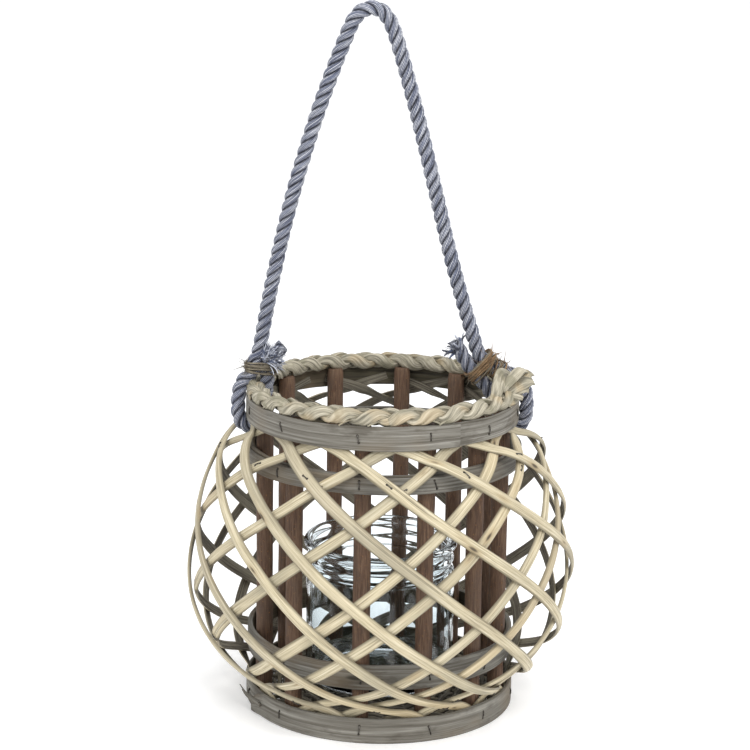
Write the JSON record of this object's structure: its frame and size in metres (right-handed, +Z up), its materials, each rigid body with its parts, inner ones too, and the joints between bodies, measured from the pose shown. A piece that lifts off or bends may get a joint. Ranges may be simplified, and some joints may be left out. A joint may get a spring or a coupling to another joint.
{
  "type": "lantern",
  "caption": "Hurricane candle lantern: glass jar in an open willow lattice basket with hoops, stakes, a straw rim plait and a rope handle.",
  "frame": {"origin": "middle of the base hoop's lower edge", "axes": "+Z up along the basket's axis, +X across along the rope handle towards its right loop, -Y towards the front"},
  "size_m": [0.2603, 0.2603, 0.4698],
  "materials": {
    "grey_wood": "matt, weathered split wood",
    "bark": "matt, thin reddish bark",
    "split_willow": "satin, peeled outside and grey split inside",
    "woven_willow": "matt, weathered",
    "straw": "matt, dry plaited straw",
    "staple_wire": "dull steel wire",
    "clear_glass": "clear, glossy",
    "rope": "soft three-strand cotton rope",
    "twine": "matt twine"
  },
  "bodies": {
    "basket": {"base_hoop": "grey_wood", "lower_hoop": "grey_wood", "upper_hoop": "grey_wood", "top_hoop": "grey_wood", "stake_01": "bark", "stake_02": "bark", "stake_03": "bark", "stake_04": "bark", "stake_05": "bark", "stake_06": "bark", "stake_07": "bark", "stake_08": "bark", "stake_09": "bark", "stake_10": "bark", "stake_11": "bark", "stake_12": "bark", "outer_strip_01": "split_willow", "outer_strip_02": "split_willow", "outer_strip_03": "split_willow", "outer_strip_04": "split_willow", "outer_strip_05": "split_willow", "outer_strip_06": "split_willow", "outer_strip_07": "split_willow", "outer_strip_08": "split_willow", "outer_strip_09": "split_willow", "outer_strip_10": "split_willow", "outer_strip_11": "split_willow", "outer_strip_12": "split_willow", "inner_strip_01": "split_willow", "inner_strip_02": "split_willow", "inner_strip_03": "split_willow", "inner_strip_04": "split_willow", "inner_strip_05": "split_willow", "inner_strip_06": "split_willow", "inner_strip_07": "split_willow", "inner_strip_08": "split_willow", "inner_strip_09": "split_willow", "inner_strip_10": "split_willow", "inner_strip_11": "split_willow", "inner_strip_12": "split_willow", "base_staples": "staple_wire", "lower_staples": "staple_wire", "upper_staples": "staple_wire", "top_staples": "staple_wire", "base_panel": "woven_willow", "rim_braid": "straw", "rope_loop_left": "rope", "rope_loop_right": "rope", "rope_tie_left": "twine", "rope_tie_right": "twine"},
    "jar": {"glass_jar": "clear_glass"},
    "handle": {"rope_handle": "rope"}
  },
  "joints": [
    {"name": "jar_lift", "type": "slide", "parent": "basket", "child": "jar", "axis": [0, 0, 1], "range_m": [0, 0.1]},
    {"name": "handle_swing", "type": "hinge", "parent": "basket", "child": "handle", "pos_m": [0, 0, 0.243], "axis": [1, 0, 0], "range_deg": [-100, 100]}
  ]
}
